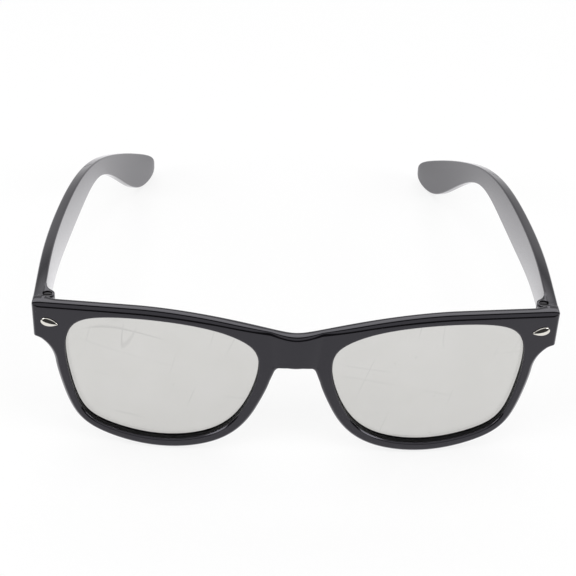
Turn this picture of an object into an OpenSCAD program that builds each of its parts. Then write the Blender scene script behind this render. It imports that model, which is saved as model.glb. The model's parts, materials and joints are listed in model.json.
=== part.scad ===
// Folding 3D glasses: moulded front, two hinged temples and laminated polarising lenses.
// Millimetres. X runs across the face, Y from the front to the ear tips, Z up from the table.
// The middle of the box lies at X = 0 and Y = 0. The wearer's left is +X.

/* [Front] */
// Width of the front across both end pieces
front_width = 142.8; // [138:0.2:156]
// Height of the brow above the lowest point of the rims
front_height = 47.7; // [46.8:0.1:52]
// Radius of the front's curve, seen from above
face_radius = 400; // [300:10:900]
// Thickness of the rims from front to back
front_thickness = 3.2; // [3:0.1:3.6]
// Bevel round the outer edge of the front face
edge_bevel = 0.8; // [0.4:0.1:1.2]
// Bevel round each lens opening
opening_bevel = 0.4; // [0.2:0.1:0.6]

/* [Brow and bridge] */
// Dip of the brow at the middle of the bridge
brow_dip = 6.6; // [3:0.2:8]
// Distance from the middle at which the brow is level
brow_reach = 40; // [34:1:50]
// Rounding of the dip at its lowest point
brow_soft = 3.5; // [2:0.5:8]
// Fall of the brow towards each end
brow_fall = 1.1; // [0:0.1:1.4]
// Height of the bridge at the middle
bridge_height = 10.8; // [8:0.2:13]

/* [Nose] */
// Half width of the nose notch just under the bridge
notch_half = 5.15; // [4.4:0.05:5.6]
// Rounding of the notch's upper corners
notch_round = 1.8; // [0.4:0.1:2.4]
// Rise of the notch's upper edge from the middle to its corners
notch_lift = 0.15; // [0:0.05:0.4]
// Extra depth of the moulded nose pads behind the rims
nose_pad_depth = 1.8; // [0.6:0.1:2.6]
// Lowest and highest place of the nose pads above the table
nose_pad_low = 8; // [6:0.5:10]
nose_pad_high = 29; // [26:0.5:31]
// Length over which the nose pads rise out of the rims
nose_pad_fade = 6; // [4:0.5:8]

/* [End pieces] */
// Height of each end piece
end_height = 11; // [10.4:0.1:12]
// Thickness of each end piece at its outer edge
end_thickness = 4; // [3.6:0.1:4.4]
// Distance from the end at which the end piece starts to thicken, and the length that this takes
end_length = 9; // [8:0.5:12]
end_ramp = 7; // [5:0.5:8]
// Distance below the end piece at which the rim starts to thicken, and the height that this takes
end_under = 6; // [5:0.5:8]
end_under_ramp = 5; // [4:0.5:5]
// Bulge and drop of the sweep that leads from the rim to the end piece
sweep_bulge = 0.7; // [0:0.1:1.6]
sweep_drop = 2.5; // [2:0.1:4]

/* [Lens openings] */
// Width of the front beside each lens opening, with the end piece
lens_side = 8.5; // [8:0.1:11]
// Height of each lens opening
lens_height = 41.6; // [39:0.2:42.2]
// Distance between the two lens openings
lens_gap = 20.2; // [19.6:0.2:23]
// Height of the rim under each lens
rim_bottom = 3.2; // [2.6:0.1:3.6]
// Width of the rim round the lower corner of each lens, towards the temple
rim_corner = 2.75; // [2.5:0.05:3.4]
// Width of the rim beside each lens, just under the end piece
rim_temporal = 3.2; // [2.8:0.1:3.8]
// Width of the rim beside each lens, towards the nose
rim_nasal = 3.8; // [3.4:0.1:4.6]

/* [Lens films] */
// Depth of the first film behind the front face
lens_recess = 2; // [1.4:0.05:2.05]
// Thickness of each film of the laminate
film_thickness = 0.24; // [0.15:0.01:0.26]
// Bond line between two films
film_bond = 0.02; // [0.01:0.01:0.04]
// Depth of the groove that holds the films
groove_depth = 0.8; // [0.6:0.05:1]
// Room left round the films in their groove
film_clearance = 0.05; // [0.03:0.01:0.1]

/* [Temples] */
// Depth of the open glasses, from the bridge to the ear tips
overall_depth = 150; // [142:1:160]
// Height of a temple at its hinge
hinge_height = 10.4; // [9.6:0.1:10.6]
// Upright height of a temple between its hinge and its belly
fore_height = 11; // [10:0.1:12]
// Upright height of a temple at its belly, where it is tallest
belly_height = 12; // [10:0.1:13]
// Upright height of a temple between its belly and its waist
taper_height = 10.2; // [8:0.1:11]
// Upright height of a temple at its waist above the ear
waist_height = 6.5; // [5:0.1:8]
// Thickness of a temple at its hinge
temple_thickness = 3; // [3:0.1:3.4]
// Thickness of a temple at its tip
tip_thickness = 2.4; // [2:0.1:2.8]
// Rounding of a temple's long edges
temple_edge = 0.5; // [0.3:0.1:1]
// Angle at which the temple spreads outwards from its hinge
temple_splay = 1.5; // [0:0.1:2]
// Distance from the bridge at which the temple starts to bow inwards
bow_start = 24; // [20:1:40]
// Radius of the inward bow, seen from above
bow_radius = 335; // [320:5:700]

/* [Paddles] */
// Upright height of a temple between its waist and its paddle
flare_height = 10.4; // [9:0.1:11]
// Upright height of the paddle behind the ear
paddle_height = 14.1; // [12:0.1:15]
// Upright height of the paddle close to its tip
tip_height = 8.2; // [7:0.1:9]
// Height of the tip above the table
tip_rise = 4.8; // [4:0.1:5.4]

/* [Hinges] */
// Distance of the hinge axis inside the temple's outer face
hinge_inset = 3.7; // [3.6:0.05:3.9]
// Distance of the hinge axis behind the end piece
hinge_setback = 1.4; // [1.1:0.05:1.5]
// Distance of the temple's top below the top of the end piece
hinge_drop = 0.2; // [0:0.05:0.4]
// Outer radius of the hinge eyes
eye_radius = 2; // [1.9:0.05:2.1]
// Step of the eyes below the top and above the bottom of the temple
eye_step = 0.3; // [0.1:0.05:0.5]
// Room above and below the front's eye
eye_gap = 0.15; // [0.1:0.05:0.3]
// Radius of the fillet between an eye and the temple's inner face
eye_fillet = 4; // [3:0.5:6]
// Height of the front's eye between the temple's two eyes
front_eye_height = 4; // [3:0.1:4.6]
// Depth of the block that carries the front's eye
pad_depth = 2.4; // [2:0.1:2.6]
// Distance of that block inside the edges of the end piece
pad_edge = 0.6; // [0.4:0.1:0.9]
// Room between parts that turn past each other
turn_clearance = 0.25; // [0.2:0.05:0.35]
// Gap between the end piece and the temple's butt face
butt_gap = 0.15; // [0.1:0.05:0.3]

/* [Hinge screws] */
// Radius of the screw's shank
screw_radius = 0.7; // [0.5:0.05:0.8]
// Radius of the screw's head
screw_head_radius = 1.3; // [1.1:0.05:1.4]
// Height of the screw's head
screw_head_height = 0.7; // [0.5:0.05:0.9]
// Depth of the head below the top of its eye
screw_sink = 0.3; // [0:0.05:0.5]
// Width and depth of the slot in the head
screw_slot_width = 0.4; // [0.3:0.05:0.6]
screw_slot_depth = 0.35; // [0.2:0.05:0.45]
// Radial room round the screw in its bores
screw_clearance = 0.05; // [0.02:0.01:0.08]

/* [Rivets] */
// Length of each almond-shaped rivet head
rivet_length = 4.8; // [4:0.1:6]
// Width of each rivet head
rivet_width = 2.8; // [2:0.1:3]
// Height of the rivet head above the front face
rivet_crown = 0.7; // [0.5:0.05:0.9]
// Height of the rivet head at its two points
rivet_edge = 0.25; // [0.1:0.05:0.4]
// Distance of the rivet's centre inside the end of the front
rivet_inset = 4.7; // [4.2:0.1:5.2]
// Distance of the rivet's centre below the brow
rivet_drop = 6.7; // [6:0.1:7.2]
// Tilt of the rivet, outer end up
rivet_tilt = 7; // [0:1:30]
// Depth of the seat under the rivet head, and room round the head in it
rivet_seat = 0.25; // [0.1:0.05:0.4]
rivet_room = 0.12; // [0.05:0.01:0.2]
// Radius of the pin behind the rivet head
rivet_pin_radius = 0.6; // [0.4:0.05:0.7]
// Length of the pin in the end piece
rivet_pin_length = 1.8; // [1.2:0.1:2]
// Radial room round the pin
rivet_pin_room = 0.02; // [0.01:0.01:0.05]

/* [Hidden] */
$fn = 0;
$fa = 4;
$fs = 0.3;

// A small overlap that lets a cut pass right through a face
through = 1;
plastic_black = [0.05, 0.05, 0.06];
film_grey = [0.78, 0.78, 0.76, 0.6];
bright_metal = [0.8, 0.79, 0.77];

half_width = front_width / 2;
origin_y = overall_depth / 2;
lens_width = half_width - lens_gap / 2 - lens_side;
lens_centre_x = (lens_gap + lens_width) / 2;
lens_centre_z = rim_bottom + lens_height / 2;

function unit(v) = v / norm(v);
function mix(a, b, f) = a + (b - a) * f;
function flat(lists) = [for (l = lists) each l];
// Blend from 0 to 1 with level ends
function ease(f) = let (g = min(1, max(0, f))) g * g * (3 - 2 * g);
function bezier2(a, b, c, f) = pow(1 - f, 2) * a + 2 * f * (1 - f) * b + f * f * c;

// Depth of the curved front face behind the bridge at a distance x from the middle
function face_y(x) = face_radius - sqrt(face_radius * face_radius - x * x);
butt_y = face_y(half_width) + end_thickness;

// Lens opening: a closed smooth curve through unit points, counted from the nose downwards
opening_unit = [[-1, 0.325], [-0.96, -0.013], [-0.819, -0.458], [-0.51, -0.849], [0.038, -1],
                [0.572, -0.871], [0.847, -0.605], [0.958, -0.137], [1, 0.312], [0.96, 0.673],
                [0.73, 0.934], [0.111, 0.998], [-0.541, 0.891], [-0.925, 0.635]];
knots = len(opening_unit);
knot_step = 0.02;
// Knots at which the rim leaves its nasal width and reaches its other widths
knot_rim_nasal = 0.5;
knot_rim_low = 1.7;
knot_bottom = 4;
knot_rim_corner = 6.2;
// Knots at which the outline of the front changes its course
knot_middle = 0.1;
knot_notch_round = 0.2;
knot_notch_side = 0.3;
knot_nose = 0.7;
knot_end_sweep = 7.75;
knot_end_low = 8.6;
knot_end_top = 9.5;
knot_brow_end = 13.1;

function lens_point(p) = [lens_centre_x + p[0] * lens_width / 2, lens_centre_z + p[1] * lens_height / 2];
// Entry i of a list, counted on round a closed curve or mirrored past the ends of an open one
function entry(c, i, closed) = closed ? c[(i + len(c)) % len(c)]
    : i < 0 ? 2 * c[0] - c[1] : i >= len(c) ? 2 * c[len(c) - 1] - c[len(c) - 2] : c[i];
// Control points of the cubic curve that passes through all the given points
settle_steps = 12;
function settle(c, p, closed, steps) = steps < 1 ? c :
    settle([for (i = [0 : len(p) - 1])
        c[i] + p[i] - (entry(c, i - 1, closed) + 4 * c[i] + entry(c, i + 1, closed)) / 6],
        p, closed, steps - 1);
function controls(p, closed) = settle(p, p, closed, settle_steps);
// Point of the cubic curve with control points c at knot position t
function curve(c, t, closed) = let (i = floor(t), f = t - i)
    (pow(1 - f, 3) * entry(c, i - 1, closed) + (3 * pow(f, 3) - 6 * f * f + 4) * entry(c, i, closed)
     + (-3 * pow(f, 3) + 3 * f * f + 3 * f + 1) * entry(c, i + 1, closed)
     + pow(f, 3) * entry(c, i + 2, closed)) / 6;
opening_controls = controls([for (p = opening_unit) lens_point(p)], true);
// Point and outward normal of the opening at knot position t
function opening(t) = curve(opening_controls, t, true);
function opening_normal(t) = let (d = unit(opening(t + knot_step) - opening(t - knot_step))) [d[1], -d[0]];
function opening_offset(t, w) = opening(t) + opening_normal(t) * w;

// Width of the rim from the nose round the bottom to the temple side
function rim_width(t) = t < knot_bottom
    ? mix(rim_nasal, rim_bottom, ease((t - knot_rim_nasal) / (knot_rim_low - knot_rim_nasal)))
    : t < knot_rim_corner
    ? mix(rim_bottom, rim_corner, ease((t - knot_bottom) / (knot_rim_corner - knot_bottom)))
    : mix(rim_corner, rim_temporal, ease((t - knot_rim_corner) / (knot_end_sweep - knot_rim_corner)));
brow_power = 1.9;
function brow_z(x) = let (d = sqrt(x * x + brow_soft * brow_soft) - brow_soft, past = x - brow_reach)
    front_height - brow_dip * pow(max(0, 1 - d / brow_reach), brow_power)
    - brow_fall * pow(max(0, past) / (half_width - brow_reach), 2);
end_top = brow_z(half_width);
end_low = end_top - end_height;

notch_z = brow_z(0) - bridge_height;
nose_join = opening_offset(knot_nose, rim_width(knot_nose));
notch_corner = [notch_half, notch_z + notch_lift];
notch_edge = notch_corner - [notch_round, 0];
notch_side = notch_corner + unit(nose_join - notch_corner) * notch_round;
sweep_join = opening_offset(knot_end_sweep, rim_width(knot_end_sweep));
sweep_aim = [sweep_join[0] + sweep_bulge, end_low - sweep_drop];

// Outline of one half of the front from the notch round to the brow: [opening knot, outer point]
notch_steps = 4;
notch_round_steps = 4;
notch_side_steps = 4;
rim_steps = 52;
sweep_steps = 8;
end_steps = 4;
brow_steps = 30;
seam_steps = 6;
outline = concat(
    [for (i = [0 : notch_steps - 1]) let (f = i / notch_steps)
        [mix(knot_middle, knot_notch_round, f), [notch_edge[0] * f, notch_z + notch_lift * ease(f)]]],
    [for (i = [0 : notch_round_steps - 1]) let (f = i / notch_round_steps)
        [mix(knot_notch_round, knot_notch_side, f), bezier2(notch_edge, notch_corner, notch_side, f)]],
    [for (i = [0 : notch_side_steps - 1]) let (f = i / notch_side_steps)
        [mix(knot_notch_side, knot_nose, f), mix(notch_side, nose_join, f)]],
    [for (i = [0 : rim_steps - 1]) let (t = mix(knot_nose, knot_end_sweep, i / rim_steps))
        [t, opening_offset(t, rim_width(t))]],
    [for (i = [0 : sweep_steps - 1]) let (f = i / sweep_steps)
        [mix(knot_end_sweep, knot_end_low, f), bezier2(sweep_join, sweep_aim, [half_width, end_low], f)]],
    [for (i = [0 : end_steps - 1]) let (f = i / end_steps)
        [mix(knot_end_low, knot_end_top, f), [half_width, mix(end_low, end_top, f)]]],
    [for (i = [0 : brow_steps]) let (f = i / brow_steps, x = half_width * (1 - f))
        [mix(knot_end_top, knot_brow_end, f), [x, brow_z(x)]]]);
outline_count = len(outline);

// Corner of the outline moved inwards by w, square to both of its sides
function across_middle(p) = [-p[0], p[1]];
function outline_at(i) = i < 0 ? across_middle(outline[-i][1])
    : i >= outline_count ? across_middle(outline[2 * outline_count - 2 - i][1]) : outline[i][1];
function outline_inset(i, w) = let (p = outline_at(i),
    a = unit(p - outline_at(i - 1)), b = unit(outline_at(i + 1) - p),
    n = [-a[1], a[0]], m = [-b[1], b[0]]) p + w * (n + m) / (1 + n * m);

// Thickness of the front at an outer point: rims, nose pads and end pieces
function nose_pad(p) = p[0] > lens_centre_x ? 0 :
    nose_pad_depth * ease((p[1] - nose_pad_low) / nose_pad_fade)
    * ease((nose_pad_high - p[1]) / nose_pad_fade);
end_start_x = half_width - end_length;
end_start_z = end_low - end_under;
function outer_thickness(p) = front_thickness + nose_pad(p) + (butt_y - face_y(p[0]) - front_thickness)
    * ease((p[0] - end_start_x) / end_ramp) * ease((p[1] - end_start_z) / end_under_ramp);

film_pitch = film_thickness + film_bond;
groove_front = lens_recess - film_clearance;
groove_back = lens_recess + 3 * film_thickness + 2 * film_bond + film_clearance;
function on_face(p, depth) = [p[0], face_y(p[0]) + depth - origin_y, p[1]];

// Section of the front between an outer point and the lens opening
function front_section(t, outer, front_edge, thickness) = [
    on_face(outer, thickness),
    on_face(outer, edge_bevel),
    on_face(front_edge, 0),
    on_face(opening_offset(t, opening_bevel), 0),
    on_face(opening(t), opening_bevel),
    on_face(opening(t), groove_front),
    on_face(opening_offset(t, groove_depth), groove_front),
    on_face(opening_offset(t, groove_depth), groove_back),
    on_face(opening(t), groove_back),
    on_face(opening(t), front_thickness)];

seam_top = outline_inset(outline_count - 1, edge_bevel)[1];
seam_low = outline_inset(0, edge_bevel)[1];
front_sections = concat(
    [for (i = [0 : outline_count - 1])
        front_section(outline[i][0], outline_at(i), outline_inset(i, edge_bevel),
                      outer_thickness(outline_at(i)))],
    [for (i = [1 : seam_steps - 1]) let (f = i / seam_steps)
        front_section(mix(knot_brow_end, knots + knot_middle, f), [0, mix(brow_z(0), notch_z, f)],
                      [0, mix(seam_top, seam_low, f)], front_thickness)]);

// Triangles between neighbouring rings of points, with the last ring joined to the first if looped
function ring_faces(rings, per_ring, looped) =
    [for (i = [0 : rings - (looped ? 1 : 2)], j = [0 : per_ring - 1])
        let (next = (j + 1) % per_ring, here = i * per_ring, there = ((i + 1) % rings) * per_ring)
        each [[here + j, here + next, there + next], [here + j, there + next, there + j]]];

module half_front() {
    polyhedron(points = flat(front_sections),
        faces = ring_faces(len(front_sections), len(front_sections[0]), true));
}

// Hinge places, on the wearer's left
axis_x = half_width - hinge_inset;
axis_y = butt_y + hinge_setback - origin_y;
hinge_top = end_top - hinge_drop;
hinge_low = hinge_top - hinge_height;
hinge_mid = (hinge_top + hinge_low) / 2;
arm_top = hinge_top - eye_step;
arm_low = hinge_low + eye_step;
front_eye_low = hinge_mid - front_eye_height / 2;
front_eye_top = hinge_mid + front_eye_height / 2;
turn_radius = eye_radius + turn_clearance;
bore_radius = screw_radius + screw_clearance;
screw_recess = screw_head_height + screw_sink;

// Round bar on the hinge axis between two heights
module on_axis(radius, low, top) {
    translate([axis_x, axis_y, low]) cylinder(r = radius, h = top - low);
}

// Block, neck and eye of the front's half of the hinge
module front_hinge() {
    root_y = butt_y - pad_depth - origin_y;
    inner_x = axis_x - eye_radius;
    neck_x = axis_x + (eye_radius + bore_radius) / 2;
    translate([inner_x, root_y, end_low + pad_edge])
        cube([half_width - pad_edge - inner_x, pad_depth, end_height - 2 * pad_edge]);
    translate([inner_x, root_y, front_eye_low]) cube([neck_x - inner_x, axis_y - root_y, front_eye_height]);
    on_axis(eye_radius, front_eye_low, front_eye_top);
}

// Room in the end piece for the temple's two eyes, and the bore for the screw
module front_hinge_cuts() {
    on_axis(turn_radius, front_eye_top, end_top + through);
    on_axis(turn_radius, end_low - through, front_eye_low);
    on_axis(bore_radius, front_eye_low - through, front_eye_top + through);
}

rivet_x = half_width - rivet_inset;
rivet_z = front_height - rivet_drop;

// Puts its children on the front face at the rivet's place, with +Z pointing out of the face
module at_rivet() {
    translate([rivet_x, face_y(rivet_x) - origin_y, rivet_z])
        rotate([0, 0, asin(rivet_x / face_radius)])
            rotate([90, -rivet_tilt, 0]) children();
}

// Almond outline made by two crossing round bars
module almond(grow, low, high) {
    bar = (rivet_length * rivet_length + rivet_width * rivet_width) / (4 * rivet_width);
    intersection() {
        translate([0, bar - rivet_width / 2, low]) cylinder(r = bar + grow, h = high - low);
        translate([0, rivet_width / 2 - bar, low]) cylinder(r = bar + grow, h = high - low);
    }
}

module rivet_solid() {
    rise = rivet_crown - rivet_edge;
    dome = (rivet_length * rivet_length / 4 + rise * rise) / (2 * rise);
    intersection() {
        almond(0, -rivet_seat, rivet_crown + through);
        translate([0, 0, rivet_crown - dome]) sphere(r = dome);
    }
    translate([0, 0, -rivet_seat - rivet_pin_length])
        cylinder(r = rivet_pin_radius, h = rivet_pin_length + rivet_seat);
}

module rivet_cuts() {
    almond(rivet_room, -rivet_seat, through);
    translate([0, 0, -rivet_seat - rivet_pin_length - rivet_room])
        cylinder(r = rivet_pin_radius + rivet_pin_room, h = rivet_pin_length + rivet_seat + through);
}

module front_frame() {
    color(plastic_black) difference() {
        union() {
            half_front();
            mirror([1, 0, 0]) half_front();
            front_hinge();
            mirror([1, 0, 0]) front_hinge();
        }
        for (side = [0, 1]) mirror([side, 0, 0]) {
            front_hinge_cuts();
            at_rivet() rivet_cuts();
        }
    }
}

// Temple: a section swept along a side profile that bends over the ear and ends in a paddle
temple_start = butt_y + butt_gap;
// Upper edge of the profile, as shares of the overall depth and of the height of the hinge's middle
crest_unit = [[0.234, 1.092], [0.397, 1.036], [0.545, 0.973], [0.68, 0.84],
              [0.808, 0.624], [0.912, 0.408], [0.988, 0.22]];
crest = [for (p = crest_unit) [p[0] * overall_depth, p[1] * hinge_mid]];
crest_heights = [fore_height, belly_height, taper_height, waist_height,
                 flare_height, paddle_height, tip_height];
waist_depth = crest[3][0];
tip_point = [overall_depth, tip_rise];
upper_points = concat([[temple_start, hinge_top]], crest, [tip_point]);
lower_points = concat([[temple_start, hinge_low]],
    [for (i = [0 : len(crest) - 1]) crest[i] - [0, crest_heights[i]]], [tip_point]);
upper_controls = controls(upper_points, false);
lower_controls = controls(lower_points, false);
function upper(t) = curve(upper_controls, t, false);
function lower(t) = curve(lower_controls, t, false);
function half_height(t) = norm(upper(t) - lower(t)) / 2;
// Point of the side profile at a height above the middle of the section
function middle(t) = (upper(t) + lower(t)) / 2;
function profile(t, up) = middle(t) + unit(upper(t) - lower(t)) * up;

// Knot positions along the temple at which its section is set, closer together round the tip
last_knot = len(upper_points) - 1;
span_steps = 7;
tip_steps = 14;
// Share of the tip's round end that is drawn before its flat cap
tip_share = 0.997;
stations = concat(
    [for (i = [0 : (last_knot - 1) * span_steps - 1]) i / span_steps],
    [for (i = [0 : tip_steps]) last_knot - 1 + tip_share * i / tip_steps]);

// The stretch behind the waist is fitted so that the tip ends at the overall depth and rests on the table
raw_edges = [for (t = stations) each [upper(t), lower(t)]];
raw_back = max([for (p = raw_edges) p[0]]);
raw_low = min([for (p = raw_edges) p[1]]);
raw_low_y = [for (p = raw_edges) if (p[1] == raw_low) p[0]][0];
function fitted(p) = p[0] < waist_depth ? p :
    [p[0] + (overall_depth - raw_back) * (p[0] - waist_depth) / (raw_back - waist_depth),
     p[1] - raw_low * (p[0] - waist_depth) / (raw_low_y - waist_depth)];

// Distance of the temple's outer face outside the end of the front
function spread(y) = let (d = max(0, y - bow_start))
    tan(temple_splay) * (y - temple_start) - bow_radius + sqrt(bow_radius * bow_radius - d * d);
function thickness_at(y) =
    mix(temple_thickness, tip_thickness, ease((y - temple_start) / (overall_depth - temple_start)));
// Corners of the section: three points to a corner, with a radius that its half height and half width limit
corner_steps = [0, 45, 90];
edge_height_share = 0.6;
edge_width_share = 0.8;
function section_point(t, corner, angle) =
    let (height = half_height(t), width = thickness_at(middle(t)[0]) / 2,
         r = min(temple_edge, height * edge_height_share, width * edge_width_share), a = corner * 90 + angle,
         across = cos(a) * r + (width - r) * (corner == 0 || corner == 3 ? 1 : -1),
         up = sin(a) * r + (height - r) * (corner < 2 ? 1 : -1), p = fitted(profile(t, up)))
    [half_width + spread(p[0]) - width + across, p[0] - origin_y, p[1]];
function temple_section(t) = [for (corner = [0 : 3], angle = corner_steps) section_point(t, corner, angle)];

module temple_body() {
    rings = len(stations);
    per_ring = 4 * len(corner_steps);
    last = (rings - 1) * per_ring;
    polyhedron(points = flat([for (t = stations) temple_section(t)]),
        faces = concat(ring_faces(rings, per_ring, false),
            [for (j = [1 : per_ring - 2]) [0, j + 1, j]],
            [for (j = [1 : per_ring - 2]) [last, last + j, last + j + 1]]));
}

// Two eyes with a filleted web that runs into the temple's inner face
module temple_eyes() {
    wall_x = half_width - temple_thickness;
    fillet_x = wall_x - eye_fillet;
    rise = sqrt(pow(eye_radius + eye_fillet, 2) - pow(axis_x - fillet_x, 2));
    web_x = mix(axis_x, fillet_x, eye_radius / (eye_radius + eye_fillet));
    on_axis(eye_radius, arm_low, arm_top);
    difference() {
        translate([web_x, axis_y, arm_low])
            cube([wall_x - web_x + temple_thickness / 2, rise, arm_top - arm_low]);
        translate([fillet_x, axis_y + rise, arm_low - through])
            cylinder(r = eye_fillet, h = arm_top - arm_low + 2 * through);
    }
}

module temple() {
    difference() {
        union() {
            temple_body();
            temple_eyes();
        }
        on_axis(turn_radius, front_eye_low - eye_gap, front_eye_top + eye_gap);
        on_axis(bore_radius, arm_low - through, arm_top + through);
        on_axis(screw_head_radius + screw_clearance, arm_top - screw_recess, hinge_top + through);
    }
}

// Slotted screw whose head sits in the temple's upper eye
module hinge_screw() {
    head_low = arm_top - screw_recess;
    head_top = head_low + screw_head_height;
    difference() {
        union() {
            on_axis(screw_head_radius, head_low, head_top);
            on_axis(screw_radius, arm_low, head_low);
        }
        translate([axis_x - screw_head_radius - through, axis_y - screw_slot_width / 2,
                   head_top - screw_slot_depth])
            cube([2 * (screw_head_radius + through), screw_slot_width, screw_slot_depth + through]);
    }
}

// One film of the laminate, counted from the front, with its edge in the groove
film_steps = 84;
module film(layer) {
    front = lens_recess + layer * film_pitch - origin_y;
    edge = groove_depth - film_clearance;
    tall = front_height;
    intersection() {
        translate([0, tall - origin_y, 0]) rotate([90, 0, 0]) linear_extrude(height = 2 * tall)
            polygon([for (i = [0 : film_steps - 1]) opening_offset(knots * i / film_steps, edge)]);
        difference() {
            translate([0, face_radius + front, 0]) cylinder(r = face_radius, h = tall);
            translate([0, face_radius + front + film_thickness, -through])
                cylinder(r = face_radius, h = tall + 2 * through);
        }
    }
}

module on_left() { children(); }
module on_right() { mirror([1, 0, 0]) children(); }

module left_temple() { color(plastic_black) on_left() temple(); }
module right_temple() { color(plastic_black) on_right() temple(); }
module left_retarder_film() { color(film_grey) on_left() film(0); }
module left_polariser_film() { color(film_grey) on_left() film(1); }
module left_backing_film() { color(film_grey) on_left() film(2); }
module right_retarder_film() { color(film_grey) on_right() film(0); }
module right_polariser_film() { color(film_grey) on_right() film(1); }
module right_backing_film() { color(film_grey) on_right() film(2); }
module left_hinge_screw() { color(bright_metal) on_left() hinge_screw(); }
module right_hinge_screw() { color(bright_metal) on_right() hinge_screw(); }
module left_rivet() { color(bright_metal) on_left() at_rivet() rivet_solid(); }
module right_rivet() { color(bright_metal) on_right() at_rivet() rivet_solid(); }

front_frame();
left_temple();
right_temple();
left_retarder_film();
left_polariser_film();
left_backing_film();
right_retarder_film();
right_polariser_film();
right_backing_film();
left_hinge_screw();
right_hinge_screw();
left_rivet();
right_rivet();
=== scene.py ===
"""Folding 3D glasses: glossy black mouldings, grey laminated lenses, steel screws and bright rivets.

Lengths are millimetres in the part's frame and become metres when a mesh is made.
The wearer's left is +X. Shapes are worked out on that side and mirrored.
"""

import json
import math

import bmesh
import bpy
import numpy as np
from mathutils import Matrix, Vector


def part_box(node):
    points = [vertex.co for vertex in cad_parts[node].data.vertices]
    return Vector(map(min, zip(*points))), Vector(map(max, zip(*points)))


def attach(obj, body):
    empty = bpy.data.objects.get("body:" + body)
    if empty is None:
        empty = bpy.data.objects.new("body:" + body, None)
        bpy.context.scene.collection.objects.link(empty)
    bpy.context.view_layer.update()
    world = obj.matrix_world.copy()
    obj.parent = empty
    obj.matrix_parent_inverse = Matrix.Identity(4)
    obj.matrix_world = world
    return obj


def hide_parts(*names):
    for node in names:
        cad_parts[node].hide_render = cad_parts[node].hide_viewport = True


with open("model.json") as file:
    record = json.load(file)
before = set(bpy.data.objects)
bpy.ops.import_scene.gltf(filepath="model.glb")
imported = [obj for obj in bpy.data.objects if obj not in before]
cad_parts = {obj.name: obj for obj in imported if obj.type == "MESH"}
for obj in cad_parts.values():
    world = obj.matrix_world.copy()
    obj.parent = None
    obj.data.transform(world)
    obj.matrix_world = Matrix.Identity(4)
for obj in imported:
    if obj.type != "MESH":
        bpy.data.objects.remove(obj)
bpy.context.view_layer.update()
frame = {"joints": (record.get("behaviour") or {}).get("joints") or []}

MM = 0.001


def node_box(node):
    """Lowest and highest corner of a CAD node, in millimetres."""
    low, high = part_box(node)
    return np.array(low) / MM, np.array(high) / MM


# Sizes that the frame holds
front_box_low, front_box_high = node_box("front_frame")
half_width = front_box_high[0]
bridge_y = front_box_low[1]
overall_depth = node_box("left_temple")[1][1] - bridge_y
left_fold = next(joint for joint in frame["joints"] if joint["name"] == "left_fold")
axis_x, axis_y, hinge_mid = np.array(left_fold["pos_m"]) / MM

# Front
front_height = 47.7
face_radius = 400.0
front_thickness = 3.2
edge_bevel = 0.88
bridge_bevel = 0.62
bevel_grows = 40.0
end_bevel = 0.5
end_bevel_fade = 2.0
edge_soft = 0.3
opening_bevel = 0.4
opening_soft = 0.14
back_round = 0.45
lip_round = 0.25

# Brow and bridge
brow_dip = 6.6
brow_reach = 40.0
brow_soft = 3.5
brow_fall = 1.1
brow_power = 1.9
bridge_height = 10.8
panel_low_half = 5.85
panel_high_half = 7.05
panel_fall = 0.8
panel_valley = 11.0
panel_fade_depth = 2.2
# Nearest that the line of the crease comes to the edges of the face, as a share of its width
crease_margin = 0.06

# Nose
notch_half = 5.15
notch_round = 1.8
notch_lift = 0.15
nose_pad_depth = 1.8
nose_pad_low = 8.0
nose_pad_high = 29.0
nose_pad_fade = 6.0
nose_pad_round = 0.6

# End pieces
end_height = 11.0
end_thickness = 4.0
end_length = 6.2
end_ramp = 4.2
end_under = 6.0
end_under_ramp = 5.0
sweep_bulge = 0.7
sweep_drop = 2.5
end_corner = 0.5

# Lens openings and lenses
lens_side = 8.5
lens_height = 41.6
lens_gap = 20.2
rim_bottom = 3.2
rim_corner = 2.75
rim_temporal = 3.2
rim_nasal = 3.8
lens_recess = 2.0
laminate_thickness = 0.76
groove_depth = 0.8
lens_room = 0.05

# Temples
hinge_height = 10.4
fore_height = 11.0
belly_height = 12.0
taper_height = 10.2
waist_height = 6.5
flare_height = 10.4
paddle_height = 14.1
tip_height = 8.2
tip_rise = 4.8
temple_thickness = 3.0
tip_thickness = 2.4
temple_edge = 0.5
# Most that the rounding of the edges takes of half the height and half the thickness
edge_height_share = 0.6
edge_width_share = 0.8
# The last ring stops just short of the tip's end, so that its section keeps a size
tip_end_share = 0.9995
temple_splay = 1.5
bow_start = 24.0
bow_radius = 335.0
# Keeps the finer curve of the temple inside the CAD solid, which has chords
chord_room = 0.002

# Hinges
hinge_drop = 0.2
eye_radius = 2.0
eye_step = 0.3
eye_gap = 0.15
eye_fillet = 4.0
eye_soft = 0.12
front_eye_height = 4.0
pad_depth = 2.4
pad_edge = 0.6
turn_clearance = 0.25
butt_gap = 0.15
bore_radius = 0.75
screw_recess_radius = 1.35
screw_recess_depth = 1.0
through = 1.0

# Rivets
rivet_length = 4.8
rivet_width = 2.8
rivet_crown = 0.7
rivet_edge = 0.25
rivet_inset = 4.7
rivet_drop = 6.7
rivet_tilt = 7.0
leaf_point = 0.85
leaf_round = 0.5
rivet_seat = 0.25
rivet_room = 0.12
rivet_ridge_power = 1.4
# The rivet's edge rises by this slope from this share of its outline
rivet_rim_start = 1.04
rivet_rim_slope = 8

# Fineness of the meshes, as counts of steps
bevel_steps = 4
notch_steps = 10
notch_side_steps = 12
rim_steps = 150
sweep_steps = 24
end_corner_steps = 6
end_edge_steps = 8
brow_steps = 120
seam_steps = 16
face_steps = 9
back_steps = 8
opening_samples = 400
lens_steps = 240
bar_steps = 72
neck_steps = 40
fillet_steps = 16
eye_steps = 48
leaf_steps = 24
temple_span_steps = 16
temple_tip_steps = 40
temple_corner_steps = 6
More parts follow.
